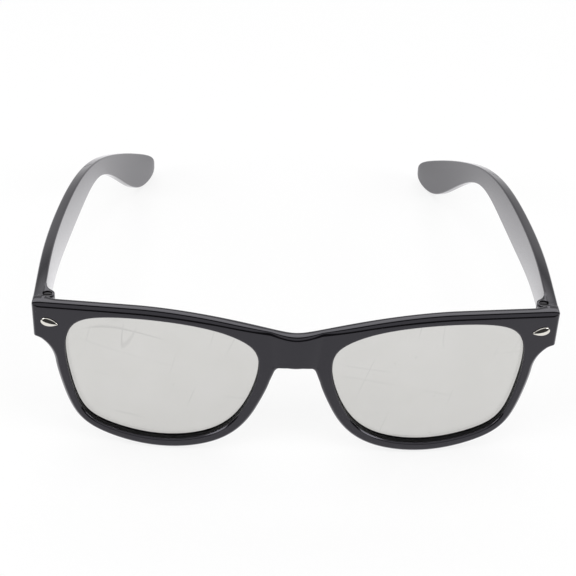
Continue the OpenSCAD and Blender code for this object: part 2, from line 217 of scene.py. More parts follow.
# Angles of the points on the rounded back edges
back_round_angles = [90, 67, 45, 22, 0]
lip_round_angles = [0, 30, 60, 90]
# Edges sharper than these angles stay sharp
sharp_angle = 30
rivet_sharp_angle = 40
# Points nearer than this, in metres, are one point
touching = 1e-7
# Points nearer to the middle plane than this lie in it
middle_room = 1e-6

# Places that follow from the sizes
lens_width = half_width - lens_gap / 2 - lens_side
lens_centre = np.array([(lens_gap + lens_width) / 2, rim_bottom + lens_height / 2])


def mix(a, b, share):
    """Value at a share of the way from a to b."""
    return a + (b - a) * share


def ease(share):
    """Blend from 0 to 1 with level ends."""
    share = np.clip(share, 0, 1)
    return share * share * (3 - 2 * share)


def spaced(start, end, steps):
    """Evenly spaced values from start on, without the end."""
    return np.linspace(start, end, steps, endpoint=False)


def between(steps):
    """Evenly spaced shares from 0 to 1, without the two ends."""
    return np.linspace(0, 1, steps + 1)[1:-1]


def bezier(points, steps, closed_end=False):
    """Points along a Bezier curve of any degree, as rows, without its last point unless asked for."""
    shares = np.linspace(0, 1, steps + 1)[:None if closed_end else -1, None]
    rows = [np.array(p, float)[None, :] for p in points]
    while len(rows) > 1:
        rows = [a + (b - a) * shares for a, b in zip(rows, rows[1:])]
    return rows[0]


def face_y(x):
    """Depth of the curved front face behind the bridge, at a distance x from the middle."""
    return face_radius - np.sqrt(face_radius ** 2 - np.asarray(x) ** 2)


butt_y = float(face_y(half_width)) + end_thickness


# Lens opening: a closed smooth curve through unit points, counted from the nose downwards
opening_unit = np.array([
    [-1, 0.325], [-0.96, -0.013], [-0.819, -0.458], [-0.51, -0.849], [0.038, -1], [0.572, -0.871],
    [0.847, -0.605], [0.958, -0.137], [1, 0.312], [0.96, 0.673], [0.73, 0.934], [0.111, 0.998],
    [-0.541, 0.891], [-0.925, 0.635]])
knots = len(opening_unit)
knot_step = 0.02
settle_steps = 12
# Knots at which the rim leaves its nasal width and reaches its other widths
knot_rim_nasal = 0.5
knot_rim_low = 1.7
knot_bottom = 4.0
knot_rim_corner = 6.2
# Knots at which the outline of the front changes its course
knot_middle = 0.1
knot_notch_round = 0.2
knot_notch_side = 0.3
knot_nose = 0.7
knot_end_sweep = 7.75
knot_end_low = 8.6
knot_end_top = 9.5
knot_brow_end = 13.1


def entry(points, index, closed):
    """Rows of a list by index, counted on round a closed curve or mirrored past the ends of an open one."""
    if closed:
        return points[index % len(points)]
    longer = np.concatenate([[2 * points[0] - points[1]], points] + [[2 * points[-1] - points[-2]]] * 2)
    return longer[index + 1]


def controls(points, closed):
    """Control points of the cubic curve that passes through all the given points."""
    points = np.array(points, float)
    index = np.arange(len(points))
    found = points
    for _ in range(settle_steps):
        neighbours = entry(found, index - 1, closed) + entry(found, index + 1, closed)
        found = found + points - (neighbours + 4 * found) / 6
    return found


def curve(found, t, closed):
    """Points of the cubic curve with the given control points at knot positions t."""
    t = np.asarray(t, float)
    first = np.floor(t).astype(int)
    f = (t - first)[..., None]
    a, b, c, d = (entry(found, first + step, closed) for step in (-1, 0, 1, 2))
    near = (3 * f ** 3 - 6 * f ** 2 + 4) * b
    far = (-3 * f ** 3 + 3 * f ** 2 + 3 * f + 1) * c
    return ((1 - f) ** 3 * a + near + far + f ** 3 * d) / 6


opening_controls = controls(lens_centre + opening_unit * np.array([lens_width, lens_height]) / 2, True)


def opening(t):
    """Points of the lens opening at knot positions t."""
    return curve(opening_controls, t, True)


def opening_offset(t, width):
    """Points of the lens opening moved outwards by a width."""
    t = np.asarray(t, float)
    way = opening(t + knot_step) - opening(t - knot_step)
    way = way / np.linalg.norm(way, axis=-1, keepdims=True)
    normal = np.stack([way[..., 1], -way[..., 0]], axis=-1)
    return opening(t) + normal * np.asarray(width)[..., None]


def rim_width(t):
    """Width of the rim from the nose round the bottom to the temple side."""
    nasal = mix(rim_nasal, rim_bottom, ease((t - knot_rim_nasal) / (knot_rim_low - knot_rim_nasal)))
    corner = mix(rim_bottom, rim_corner, ease((t - knot_bottom) / (knot_rim_corner - knot_bottom)))
    side = mix(rim_corner, rim_temporal, ease((t - knot_rim_corner) / (knot_end_sweep - knot_rim_corner)))
    return np.where(t < knot_bottom, nasal, np.where(t < knot_rim_corner, corner, side))


def brow_z(x):
    """Height of the brow line at a distance x from the middle."""
    away = np.sqrt(x * x + brow_soft ** 2) - brow_soft
    dip = brow_dip * np.maximum(0, 1 - away / brow_reach) ** brow_power
    past = np.maximum(0, x - brow_reach) / (half_width - brow_reach)
    return front_height - dip - brow_fall * past ** 2


end_top = float(brow_z(half_width))
end_low = end_top - end_height
notch_z = float(brow_z(0.0)) - bridge_height
hinge_top = end_top - hinge_drop
hinge_low = hinge_top - hinge_height
arm_top = hinge_top - eye_step
arm_low = hinge_low + eye_step
front_eye_low = hinge_mid - front_eye_height / 2
front_eye_top = hinge_mid + front_eye_height / 2


# Meshes

def new_piece(name, points, faces):
    """A mesh object from points in millimetres."""
    mesh = bpy.data.meshes.new(name)
    mesh.from_pydata((np.asarray(points) * MM).tolist(), [], faces)
    mesh.validate()
    piece = bpy.data.objects.new(name, mesh)
    bpy.context.scene.collection.objects.link(piece)
    return piece


def ring_faces(rings, per_ring, looped):
    """Quads between neighbouring rings of points."""
    faces = []
    for i in range(rings if looped else rings - 1):
        here = i * per_ring
        there = ((i + 1) % rings) * per_ring
        for j in range(per_ring):
            after = (j + 1) % per_ring
            faces.append((here + j, here + after, there + after, there + j))
    return faces


def tidy_mesh(piece, merge_reach=0.0):
    """Turns all faces outwards, drops loose points and merges the points that meet near the middle plane."""
    work = bmesh.new()
    work.from_mesh(piece.data)
    near_middle = [v for v in work.verts if abs(v.co.x) < merge_reach]
    bmesh.ops.remove_doubles(work, verts=near_middle, dist=touching)
    loose = [v for v in work.verts if not v.link_faces]
    bmesh.ops.delete(work, geom=loose, context="VERTS")
    bmesh.ops.recalc_face_normals(work, faces=work.faces)
    work.to_mesh(piece.data)
    work.free()


def combine(piece, tool, operation):
    """Joins a tool to a piece or cuts it out of the piece, and drops the tool."""
    modifier = piece.modifiers.new("combine", "BOOLEAN")
    modifier.operation = operation
    modifier.solver = "EXACT"
    modifier.object = tool
    evaluated = piece.evaluated_get(bpy.context.evaluated_depsgraph_get())
    shape = bpy.data.meshes.new_from_object(evaluated)
    piece.modifiers.remove(modifier)
    piece.data = shape
    bpy.data.objects.remove(tool)


def prism(outline, low, top, soft=0.0):
    """An upright block over a plan outline given counter-clockwise, with its two rims rounded by soft."""
    outline = np.asarray(outline, float)
    before = outline - np.roll(outline, 1, axis=0)
    after = np.roll(outline, -1, axis=0) - outline
    before = before / np.linalg.norm(before, axis=1, keepdims=True)
    after = after / np.linalg.norm(after, axis=1, keepdims=True)
    turn = np.stack([-before[:, 1] - after[:, 1], before[:, 0] + after[:, 0]], axis=1)
    inward = turn / (1 + np.sum(before * after, axis=1, keepdims=True))
    levels = [(0.0, low), (0.0, top)]
    if soft > 0:
        corner = soft * (1 - math.sqrt(0.5))
        levels = [(soft, low), (corner, low + corner), (0.0, low + soft),
                  (0.0, top - soft), (corner, top - corner), (soft, top)]
    points = [np.column_stack([outline + inset * inward, np.full(len(outline), z)]) for inset, z in levels]
    count = len(outline)
    faces = ring_faces(len(levels), count, False)
    faces.append(tuple(reversed(range(count))))
    faces.append(tuple(range((len(levels) - 1) * count, len(levels) * count)))
    return new_piece("tool", np.concatenate(points), faces)


def arc(centre, radius, start, end, steps):
    """Points along a round stretch, between two angles in degrees."""
    angles = np.radians(np.linspace(start, end, steps + 1))
    return np.array(centre) + radius * np.column_stack([np.cos(angles), np.sin(angles)])


def on_axis(radius, low, top):
    """A round bar on the left hinge axis."""
    return prism(arc((axis_x, axis_y), radius, 0, 360, bar_steps)[:-1], low, top)


def mirrored(piece, name):
    """The same piece on the wearer's right."""
    twin = piece.copy()
    twin.data = piece.data.copy()
    twin.name = name
    bpy.context.scene.collection.objects.link(twin)
    twin.data.transform(Matrix.Scale(-1, 4, Vector((1, 0, 0))))
    twin.data.flip_normals()
    return twin


def shade(piece, sharp_degrees):
    """Smooth shading that keeps the edges sharper than an angle."""
    piece.data.shade_smooth()
    piece.data.set_sharp_from_angle(angle=math.radians(sharp_degrees))


# Front moulding

def chamfer_profile(size, soft):
    """A bevel with softened ends, from side to face, as pairs of distance from the edge and depth."""
    run = soft * math.sqrt(0.5)
    side = bezier([(0, soft), (0, 0), (run, -run)], bevel_steps, True)
    face = bezier([(-run, run), (0, 0), (soft, 0)], bevel_steps, True)
    return [(0 * size + x, size + y) for x, y in side] + [(size + x, 0 * size + y) for x, y in face]


def front_outline():
    """Knots and outer points of the left half of the front, from the notch round to the brow."""
    nose_join = opening_offset(knot_nose, rim_width(knot_nose))
    sweep_join = opening_offset(knot_end_sweep, rim_width(knot_end_sweep))
    sweep_aim = np.array([sweep_join[0] + sweep_bulge, end_low - sweep_drop])
    low_corner = np.array([half_width, end_low])
    top_corner = np.array([half_width, end_top])
    low_way = (low_corner - sweep_aim) / np.linalg.norm(low_corner - sweep_aim)
    brow_start = np.array([half_width - end_corner, brow_z(half_width - end_corner)])
    up = np.array([0, end_corner])
    notch_corner = np.array([notch_half, notch_z + notch_lift])
    notch_edge = notch_corner - [notch_round, 0]
    notch_way = (nose_join - notch_corner) / np.linalg.norm(nose_join - notch_corner)
    notch_side = notch_corner + notch_way * notch_round
    notch_share = spaced(0, 1, notch_steps)
    notch = np.concatenate([
        np.column_stack([notch_edge[0] * notch_share, notch_z + notch_lift * ease(notch_share)]),
        bezier([notch_edge, notch_corner, notch_side], notch_steps),
        bezier([notch_side, nose_join], notch_side_steps)])
    rim_knots = spaced(knot_nose, knot_end_sweep, rim_steps)
    rim = opening_offset(rim_knots, rim_width(rim_knots))
    low_start = low_corner - low_way * end_corner
    sweep = bezier([sweep_join, sweep_aim, low_start], sweep_steps)
    low_round = bezier([low_start, low_corner, low_corner + up], end_corner_steps)
    edge = bezier([low_corner + up, top_corner - up], end_edge_steps)
    top_round = bezier([top_corner - up, top_corner, brow_start], end_corner_steps)
    brow_x = brow_start[0] * (1 - np.linspace(0, 1, brow_steps + 1))
    brow = np.column_stack([brow_x, brow_z(brow_x)])
    t = np.concatenate([
        spaced(knot_middle, knot_notch_round, notch_steps),
        spaced(knot_notch_round, knot_notch_side, notch_steps),
        spaced(knot_notch_side, knot_nose, notch_side_steps),
        rim_knots,
        spaced(knot_end_sweep, knot_end_low, sweep_steps),
        spaced(knot_end_low, knot_end_top, 2 * end_corner_steps + end_edge_steps),
        np.linspace(knot_end_top, knot_brow_end, brow_steps + 1)])
    return t, np.concatenate([notch, rim, sweep, low_round, edge, top_round, brow])


def panel_half(z):
    """Half width of the raised panel on the bridge at a height."""
    return mix(panel_low_half, panel_high_half, np.clip((z - notch_z) / bridge_height, 0, 1))


def bridge_panel(x, z):
    """Depth of the face at the bridge: a raised panel, then two creases, from which the rims rise again."""
    half = panel_half(z)
    inside = (np.abs(x) / half) ** 2
    outside = (1 - np.clip((np.abs(x) - half) / panel_valley, 0, 1)) ** 2
    return panel_fall * np.where(np.abs(x) < half, inside, outside)


def nose_pad_share(points):
    """Share of the nose pad's full depth at outer points of the front."""
    x, z = points[:, 0], points[:, 1]
    rise = ease((z - nose_pad_low) / nose_pad_fade) * ease((nose_pad_high - z) / nose_pad_fade)
    return np.where(x > lens_centre[0], 0, rise)


def outer_thickness(points):
    """Thickness of the front at its outer points: rims, nose pads and end pieces."""
    x, z = points[:, 0], points[:, 1]
    outwards = ease((x - (half_width - end_length)) / end_ramp)
    upwards = ease((z - (end_low - end_under)) / end_under_ramp)
    thicker = butt_y - face_y(x) - front_thickness
    return front_thickness + nose_pad_depth * nose_pad_share(points) + thicker * (outwards * upwards)


def half_front_rings():
    """Rings of points round the left half of the front.

    Each runs from the outer back edge over the front face to the opening, and behind the lens back again.
    """
    t, outer = front_outline()
    before = np.concatenate([[outer[1] * [-1, 1]], outer[:-1]])
    after = np.concatenate([outer[1:], [outer[-2] * [-1, 1]]])
    a = (outer - before) / np.linalg.norm(outer - before, axis=1, keepdims=True)
    b = (after - outer) / np.linalg.norm(after - outer, axis=1, keepdims=True)
    turn = np.stack([-a[:, 1] - b[:, 1], a[:, 0] + b[:, 0]], axis=1)
    inward = turn / (1 + np.sum(a * b, axis=1, keepdims=True))
    thickness = outer_thickness(outer)
    pad = nose_pad_share(outer)

    # Stations down the middle of the bridge, where the two halves meet
    seam = between(seam_steps)[:, None]
    t = np.concatenate([t, mix(knot_brow_end, knots + knot_middle, seam[:, 0])])
    outer = np.concatenate([outer, mix(outer[-1], outer[0], seam)])
    inward = np.concatenate([inward, mix(inward[-1], inward[0], seam)])
    thickness = np.concatenate([thickness, np.full(len(seam), front_thickness)])
    round_back = back_round + nose_pad_round * np.concatenate([pad, np.zeros(len(seam))])

    rings = []

    def add(points, depth):
        depth = np.broadcast_to(depth, len(points))
        fade = np.clip(1 - depth / panel_fade_depth, 0, 1)
        y = face_y(points[:, 0]) + depth + bridge_panel(points[:, 0], points[:, 1]) * fade
        rings.append(np.column_stack([points[:, 0], y + bridge_y, points[:, 1]]))

    for angle in np.radians(back_round_angles):
        inset = round_back * (1 - math.cos(angle))
        add(outer + inward * inset[:, None], thickness - round_back * (1 - math.sin(angle)))
    bevel = mix(bridge_bevel, edge_bevel, ease(outer[:, 0] / bevel_grows))
    bevel = mix(bevel, end_bevel, ease((outer[:, 0] - half_width + end_bevel_fade) / end_bevel_fade))
    for inset, depth in chamfer_profile(bevel, edge_soft):
        add(outer + inward * inset[:, None], depth)
    face_outer = outer + inward * (bevel + edge_soft)[:, None]
    face_inner = opening_offset(t, np.full(len(t), opening_bevel + opening_soft))
    # One ring of the face runs along the bridge's crease, with its neighbours close to it
    start = face_outer[:, 0] - panel_half(face_outer[:, 1])
    end = face_inner[:, 0] - panel_half(face_inner[:, 1])
    crease = np.clip(-start / (end - start), crease_margin, 1 - crease_margin)
    steps = between(face_steps)
    shares = [crease * (1 - (1 - step) ** 2) for step in steps] + [crease]
    shares += [mix(crease, 1, step ** 2) for step in steps]
    for share in shares:
        add(mix(face_outer, face_inner, share[:, None]), 0.0)
    for inset, depth in chamfer_profile(np.full(len(t), opening_bevel), opening_soft)[::-1]:
        add(opening_offset(t, inset), depth)
    groove_front = lens_recess - lens_room
    groove_back = lens_recess + laminate_thickness + lens_room
    for width, depth in ((0, groove_front), (groove_depth, groove_front),
                         (groove_depth, groove_back), (0, groove_back)):
        add(opening_offset(t, np.full(len(t), float(width))), depth)
    for angle in np.radians(lip_round_angles):
        inset = np.full(len(t), lip_round * (1 - math.cos(angle)))
        add(opening_offset(t, inset), front_thickness - lip_round * (1 - math.sin(angle)))
    back_inner = opening_offset(t, np.full(len(t), lip_round))
    back_outer = outer + inward * round_back[:, None]
    for share in between(back_steps):
        add(mix(back_inner, back_outer, share), mix(front_thickness, thickness, share))
    return np.stack(rings, axis=1)


def front_hinge_plan():
    """Plans of the block and the neck that carry the front's hinge eye."""
    root_y = butt_y - pad_depth + bridge_y
    inner_x = axis_x - eye_radius
    outer_x = half_width - pad_edge
    neck_x = axis_x + (eye_radius + bore_radius) / 2
    back_y = butt_y + bridge_y
    block = [(inner_x, root_y), (outer_x, root_y), (outer_x, back_y), (inner_x, back_y)]
    neck_start = math.degrees(math.acos((neck_x - axis_x) / eye_radius))
    neck_round = arc((axis_x, axis_y), eye_radius, neck_start, 180, neck_steps)
    neck = np.concatenate([[(inner_x, root_y), (neck_x, root_y)], neck_round])
    return block, neck


rivet_x = half_width - rivet_inset
rivet_place = (Matrix.Translation((rivet_x, float(face_y(rivet_x)) + bridge_y, front_height - rivet_drop))
               @ Matrix.Rotation(math.asin(rivet_x / face_radius), 4, "Z")
               @ Matrix.Rotation(math.radians(90), 4, "X")
               @ Matrix.Rotation(math.radians(rivet_tilt), 4, "Z"))


def leaf(grow):
    """Plan of the rivet: a leaf with its point towards the lens and a round outer end."""
    along = -np.cos(np.linspace(0, math.pi, leaf_steps + 1))
    half = (1 + along) ** leaf_point * (1 - along) ** leaf_round
    half = half / half.max() * (rivet_width / 2 + grow)
    along = along * (rivet_length / 2 + grow)
    low = np.column_stack([along, -half])[:-1]
    high = np.column_stack([along, half])[:0:-1]
    return np.concatenate([low, high])


def set_at_rivet(tool):
    """Moves a tool made round the origin to the left rivet's place."""
    metres = Matrix.Scale(MM, 4) @ rivet_place @ Matrix.Scale(1 / MM, 4)
    tool.data.transform(metres)
    return tool


def front_moulding():
    """Rims, bridge and end pieces as one moulding, with the hinge eyes and the rivet seats."""
    rings = half_front_rings()
    count, per_ring = rings.shape[:2]
    points = rings.reshape(-1, 3)
    # Faces that lie in the middle plane are left out, because the two halves join there
    faces = [f for f in ring_faces(count, per_ring, True) if np.abs(points[list(f), 0]).max() > middle_room]
    mirror_points = points * [-1, 1, 1]
    mirror_faces = [tuple(len(points) + i for i in reversed(f)) for f in faces]
    piece = new_piece("front_moulding", np.concatenate([points, mirror_points]), faces + mirror_faces)
    tidy_mesh(piece, touching)
    block, neck = front_hinge_plan()
    joined = [prism(block, end_low + pad_edge, end_top - pad_edge),
              prism(neck, front_eye_low, front_eye_top)]
    cut = [on_axis(eye_radius + turn_clearance, front_eye_top, end_top + through),
           on_axis(eye_radius + turn_clearance, end_low - through, front_eye_low),
           on_axis(bore_radius, front_eye_low - through, front_eye_top + through),
           set_at_rivet(prism(leaf(rivet_room), -rivet_seat, through))]
    for operation, tools in (("UNION", joined), ("DIFFERENCE", cut)):
        for tool in tools:
            twin = mirrored(tool, "twin")
            combine(piece, tool, operation)
            combine(piece, twin, operation)
    shade(piece, sharp_angle)
    return piece


def wall_faces(piece):
    """Faces of the walls and grooves round the two lenses."""
    rim_line = opening(np.linspace(0, knots, opening_samples))
    wall_front = opening_bevel + opening_soft
    wall_back = lens_recess + laminate_thickness + lens_room + lens_room
    found = []
    for face in piece.data.polygons:
        x, y, z = np.array(face.center) / MM
        depth = y - bridge_y - float(face_y(x))
        near = np.hypot(rim_line[:, 0] - abs(x), rim_line[:, 1] - z).min()
        if near < groove_depth + lens_room and wall_front < depth < wall_back:
            found.append(face)
    return found


# Temples: a rounded section swept along a side profile that bends over the ear and ends in a paddle

temple_start = butt_y + butt_gap
# Upper edge of the profile, as shares of the overall depth and of the height of the hinge's middle
crest_unit = np.array([[0.234, 1.092], [0.397, 1.036], [0.545, 0.973], [0.68, 0.84], [0.808, 0.624],
                       [0.912, 0.408], [0.988, 0.22]])
waist = 3
crest = crest_unit * [overall_depth, hinge_mid]
crest_heights = np.array([fore_height, belly_height, taper_height, waist_height, flare_height, paddle_height,
                          tip_height])
waist_depth = crest[waist][0]
tip_point = np.array([[overall_depth, tip_rise]])
upper_controls = controls(np.concatenate([[[temple_start, hinge_top]], crest, tip_point]), False)
lower_crest = crest - np.column_stack([0 * crest_heights, crest_heights])
lower_controls = controls(np.concatenate([[[temple_start, hinge_low]], lower_crest, tip_point]), False)


def temple_rings():
    """Rings of points along the left temple, each round its section."""
    last_knot = len(upper_controls) - 1
    long_part = spaced(0, last_knot - 1, (last_knot - 1) * temple_span_steps)
    tip_part = last_knot - 1 + tip_end_share * np.linspace(0, 1, temple_tip_steps + 1)
    stations = np.concatenate([long_part, tip_part])
    upper = curve(upper_controls, stations, False)
    lower = curve(lower_controls, stations, False)
    # The stretch behind the waist is fitted so that the tip ends at the overall depth and rests on the table
    edges = np.concatenate([upper, lower])
    lowest = edges[np.argmin(edges[:, 1])]
    furthest = edges[:, 0].max()
    rings = []
    for top, low in zip(upper, lower):
        middle = (top + low) / 2
        height = np.linalg.norm(top - low) / 2
        share = ease((middle[0] - temple_start) / (overall_depth - temple_start))
        width = mix(temple_thickness, tip_thickness, share) / 2
        radius = min(temple_edge, height * edge_height_share, width * edge_width_share)
        corners = []
        for x, z, start in ((1, 1, 0), (-1, 1, 90), (-1, -1, 180), (1, -1, 270)):
            centre = (x * (width - radius), z * (height - radius))
            corners.append(arc(centre, radius, start, start + 90, temple_corner_steps))
        section = np.concatenate(corners)
        side = middle + section[:, 1:] * (top - low) / (2 * height)
        past = np.maximum(0, side[:, 0] - waist_depth)
        depth = side[:, 0] + (overall_depth - furthest) * past / (furthest - waist_depth)
        rise = side[:, 1] - lowest[1] * past / (lowest[0] - waist_depth)
        bowed = np.maximum(0, depth - bow_start)
        spread = math.tan(math.radians(temple_splay)) * (depth - temple_start)
        spread = spread - bow_radius + np.sqrt(bow_radius ** 2 - bowed ** 2)
        x = half_width + spread - chord_room - width + section[:, 0]
        rings.append(np.column_stack([x, depth + bridge_y, rise]))
    return np.stack(rings)


def temple_eye_plan():
    """Plan of the temple's hinge eye with the filleted web that runs into the inner face."""
    wall_x = half_width - temple_thickness
    fillet_x = wall_x - eye_fillet
    rise = math.sqrt((eye_radius + eye_fillet) ** 2 - (axis_x - fillet_x) ** 2)
    lean = math.degrees(math.atan2(rise, fillet_x - axis_x))
    inside_x = wall_x + temple_thickness / 2
    fillet = arc((fillet_x, axis_y + rise), eye_fillet, 0, lean - 180, fillet_steps)
    eye = arc((axis_x, axis_y), eye_radius, lean, 360, eye_steps)[1:]
    return np.concatenate([[(inside_x, axis_y), (inside_x, axis_y + rise)], fillet, eye])


def temple_moulding(name):
    """The left temple with its two hinge eyes, the slot for the front's eye and the screw's bore."""
    rings = temple_rings()
    count, per_ring = rings.shape[:2]
    faces = ring_faces(count, per_ring, False)
    faces.append(tuple(reversed(range(per_ring))))
    faces.append(tuple(range((count - 1) * per_ring, count * per_ring)))
    piece = new_piece(name, rings.reshape(-1, 3), faces)
    tidy_mesh(piece)
    combine(piece, prism(temple_eye_plan(), arm_low, arm_top, eye_soft), "UNION")
    for tool in (on_axis(eye_radius + turn_clearance, front_eye_low - eye_gap, front_eye_top + eye_gap),
                 on_axis(bore_radius, arm_low - through, arm_top + through),
                 on_axis(screw_recess_radius, arm_top - screw_recess_depth, hinge_top + through)):
        combine(piece, tool, "DIFFERENCE")
    shade(piece, sharp_angle)
    return piece


def lens(name):
    """The left lens: the bonded films as one thin curved pane, with its edge in the groove."""
    t = spaced(0, knots, lens_steps)
    edge = opening_offset(t, np.full(len(t), groove_depth - lens_room))
    centre = edge.mean(axis=0)
    shares = [1.0, 0.985, 0.94, 0.85, 0.7, 0.5, 0.3, 0.12]
    rings = []
    for depth, order in ((lens_recess, shares[::-1]), (lens_recess + laminate_thickness, shares)):
        for share in order:
            points = mix(centre, edge, share)
            y = face_y(points[:, 0]) + depth + bridge_y
            rings.append(np.column_stack([points[:, 0], y, points[:, 1]]))
    faces = ring_faces(len(rings), len(t), False)
    faces.append(tuple(reversed(range(len(t)))))
    faces.append(tuple(range((len(rings) - 1) * len(t), len(rings) * len(t))))
    piece = new_piece(name, np.concatenate(rings), faces)
    tidy_mesh(piece)
    shade(piece, sharp_angle)
    return piece


def rivet_head(name):
    """The left rivet: a leaf with two polished facets that meet in a soft ridge along its length."""
    outline = leaf(0)
    count = len(outline)
    along = 1 - (2 * outline[:, 0] / rivet_length) ** 2
    rise = rivet_crown - rivet_edge
    rings = [np.column_stack([outline, np.full(count, -rivet_seat)])]
    for share in (1.0, 0.94, 0.8, 0.6, 0.4, 0.2, 0.08):
        edge = rivet_edge * min(1, (rivet_rim_start - share) * rivet_rim_slope)
        height = edge + rise * along * (1 - share ** rivet_ridge_power)
        rings.append(np.column_stack([outline[:, 0], outline[:, 1] * share, height]))
    faces = ring_faces(len(rings), count, False)
    faces.append(tuple(reversed(range(count))))
    # The innermost ring is closed by a strip of faces across the ridge
    last = (len(rings) - 1) * count
    for i in range(leaf_steps):
        faces.append((last + i, last + i + 1, last + (count - 1 - i) % count, last + (count - i) % count))
    piece = new_piece(name, np.concatenate(rings), faces)
    tidy_mesh(piece, math.inf)
    set_at_rivet(piece)
    shade(piece, rivet_sharp_angle)
    return piece


# Materials

def colour(code):
    """A linear colour from an sRGB hex value."""
    parts = [int(code[i:i + 2], 16) / 255 for i in (1, 3, 5)]
    return tuple(p / 12.92 if p <= 0.04045 else ((p + 0.055) / 1.055) ** 2.4 for p in parts) + (1.0,)


def per_metre(size):
    """Scale of a pattern whose marks are a size in millimetres apart."""
    return 1000 / size


# Sockets of the Mix node when it mixes colours
MIX_A = 6
MIX_B = 7
MIX_RESULT = 2


def add_node(tree, kind, settings=None, links=None):
    """Adds a node, sets its properties and sockets, and links its sockets."""
    node = tree.nodes.new(kind)
    for name, value in (settings or {}).items():
        if isinstance(name, str) and hasattr(node, name):
            setattr(node, name, value)
        else:
            node.inputs[name].default_value = value
    for name, source in (links or {}).items():
        tree.links.new(source, node.inputs[name])
    return node


def new_material(name):
    """An empty node material with its output."""
    material = bpy.data.materials.new(name)
    material.use_nodes = True
    material.node_tree.nodes.clear()
    output = add_node(material.node_tree, "ShaderNodeOutputMaterial")
    return material, material.node_tree, output


def moulded_polycarbonate():
    """Black polycarbonate under a hard clear coat: near black, with a wet gloss that grows at flat angles.

    The gloss is broken a little by flow marks and by fine wear from wiping. A trace of dust and skin oil
    adds a pale sheen where the surface is seen at a flat angle.
    """
    material, tree, output = new_material("moulded_black_polycarbonate")
    place = add_node(tree, "ShaderNodeTexCoord").outputs["Object"]
    flow = add_node(tree, "ShaderNodeTexNoise", {"Scale": per_metre(9), "Detail": 3.0}, {"Vector": place})
    tint = add_node(tree, "ShaderNodeMix",
                    {"data_type": "RGBA", MIX_A: colour("#0b0a0c"), MIX_B: colour("#100f12")},
                    {"Factor": flow.outputs["Fac"]})
    wiping = add_node(tree, "ShaderNodeTexNoise", {"Scale": per_metre(0.8), "Detail": 4.0},
                      {"Vector": place})
    rough = add_node(tree, "ShaderNodeMapRange", {"To Min": 0.06, "To Max": 0.12},
                     {"Value": wiping.outputs["Fac"]})
    sink = add_node(tree, "ShaderNodeTexNoise", {"Scale": per_metre(12), "Detail": 1.0}, {"Vector": place})
    bump = add_node(tree, "ShaderNodeBump", {"Strength": 0.25, "Distance": 0.06 * MM},
                    {"Height": sink.outputs["Fac"]})
    # Painted light: the faint violet of the specular and sheen tints stands in for the violet cast of the
    # room's light in the reflections.
    shader = add_node(tree, "ShaderNodeBsdfPrincipled",
                      {"IOR": 1.4, "Specular Tint": colour("#f0ecff"), "Coat Weight": 1.0, "Coat IOR": 1.28,
                       "Coat Roughness": 0.04, "Coat Tint": colour("#fdfcff"), "Sheen Weight": 0.2,
                       "Sheen Roughness": 0.25, "Sheen Tint": colour("#fbf5ff")},
                      {"Base Color": tint.outputs[MIX_RESULT], "Roughness": rough.outputs["Result"],
                       "Normal": bump.outputs["Normal"]})
    tree.links.new(shader.outputs["BSDF"], output.inputs["Surface"])
    return material


def shaded_wall_polycarbonate():
    """Black polycarbonate of the walls round the lenses: satin from the mould, and nearly black with weak
    reflections as painted shade for these recessed walls.
    """
    material, tree, output = new_material("satin_black_polycarbonate_painted_shade")
    place = add_node(tree, "ShaderNodeTexCoord").outputs["Object"]
    grain = add_node(tree, "ShaderNodeTexNoise", {"Scale": per_metre(0.4), "Detail": 3.0}, {"Vector": place})
    tint = add_node(tree, "ShaderNodeMix",
                    {"data_type": "RGBA", MIX_A: colour("#070708"), MIX_B: colour("#0d0d0f")},
                    {"Factor": grain.outputs["Fac"]})
    # Painted shade: the low specular level and the darker base keep the recessed walls darker than the face.
    shader = add_node(tree, "ShaderNodeBsdfPrincipled", {"Roughness": 0.5, "Specular IOR Level": 0.12},
                      {"Base Color": tint.outputs[MIX_RESULT]})
    tree.links.new(shader.outputs["BSDF"], output.inputs["Surface"])
    return material


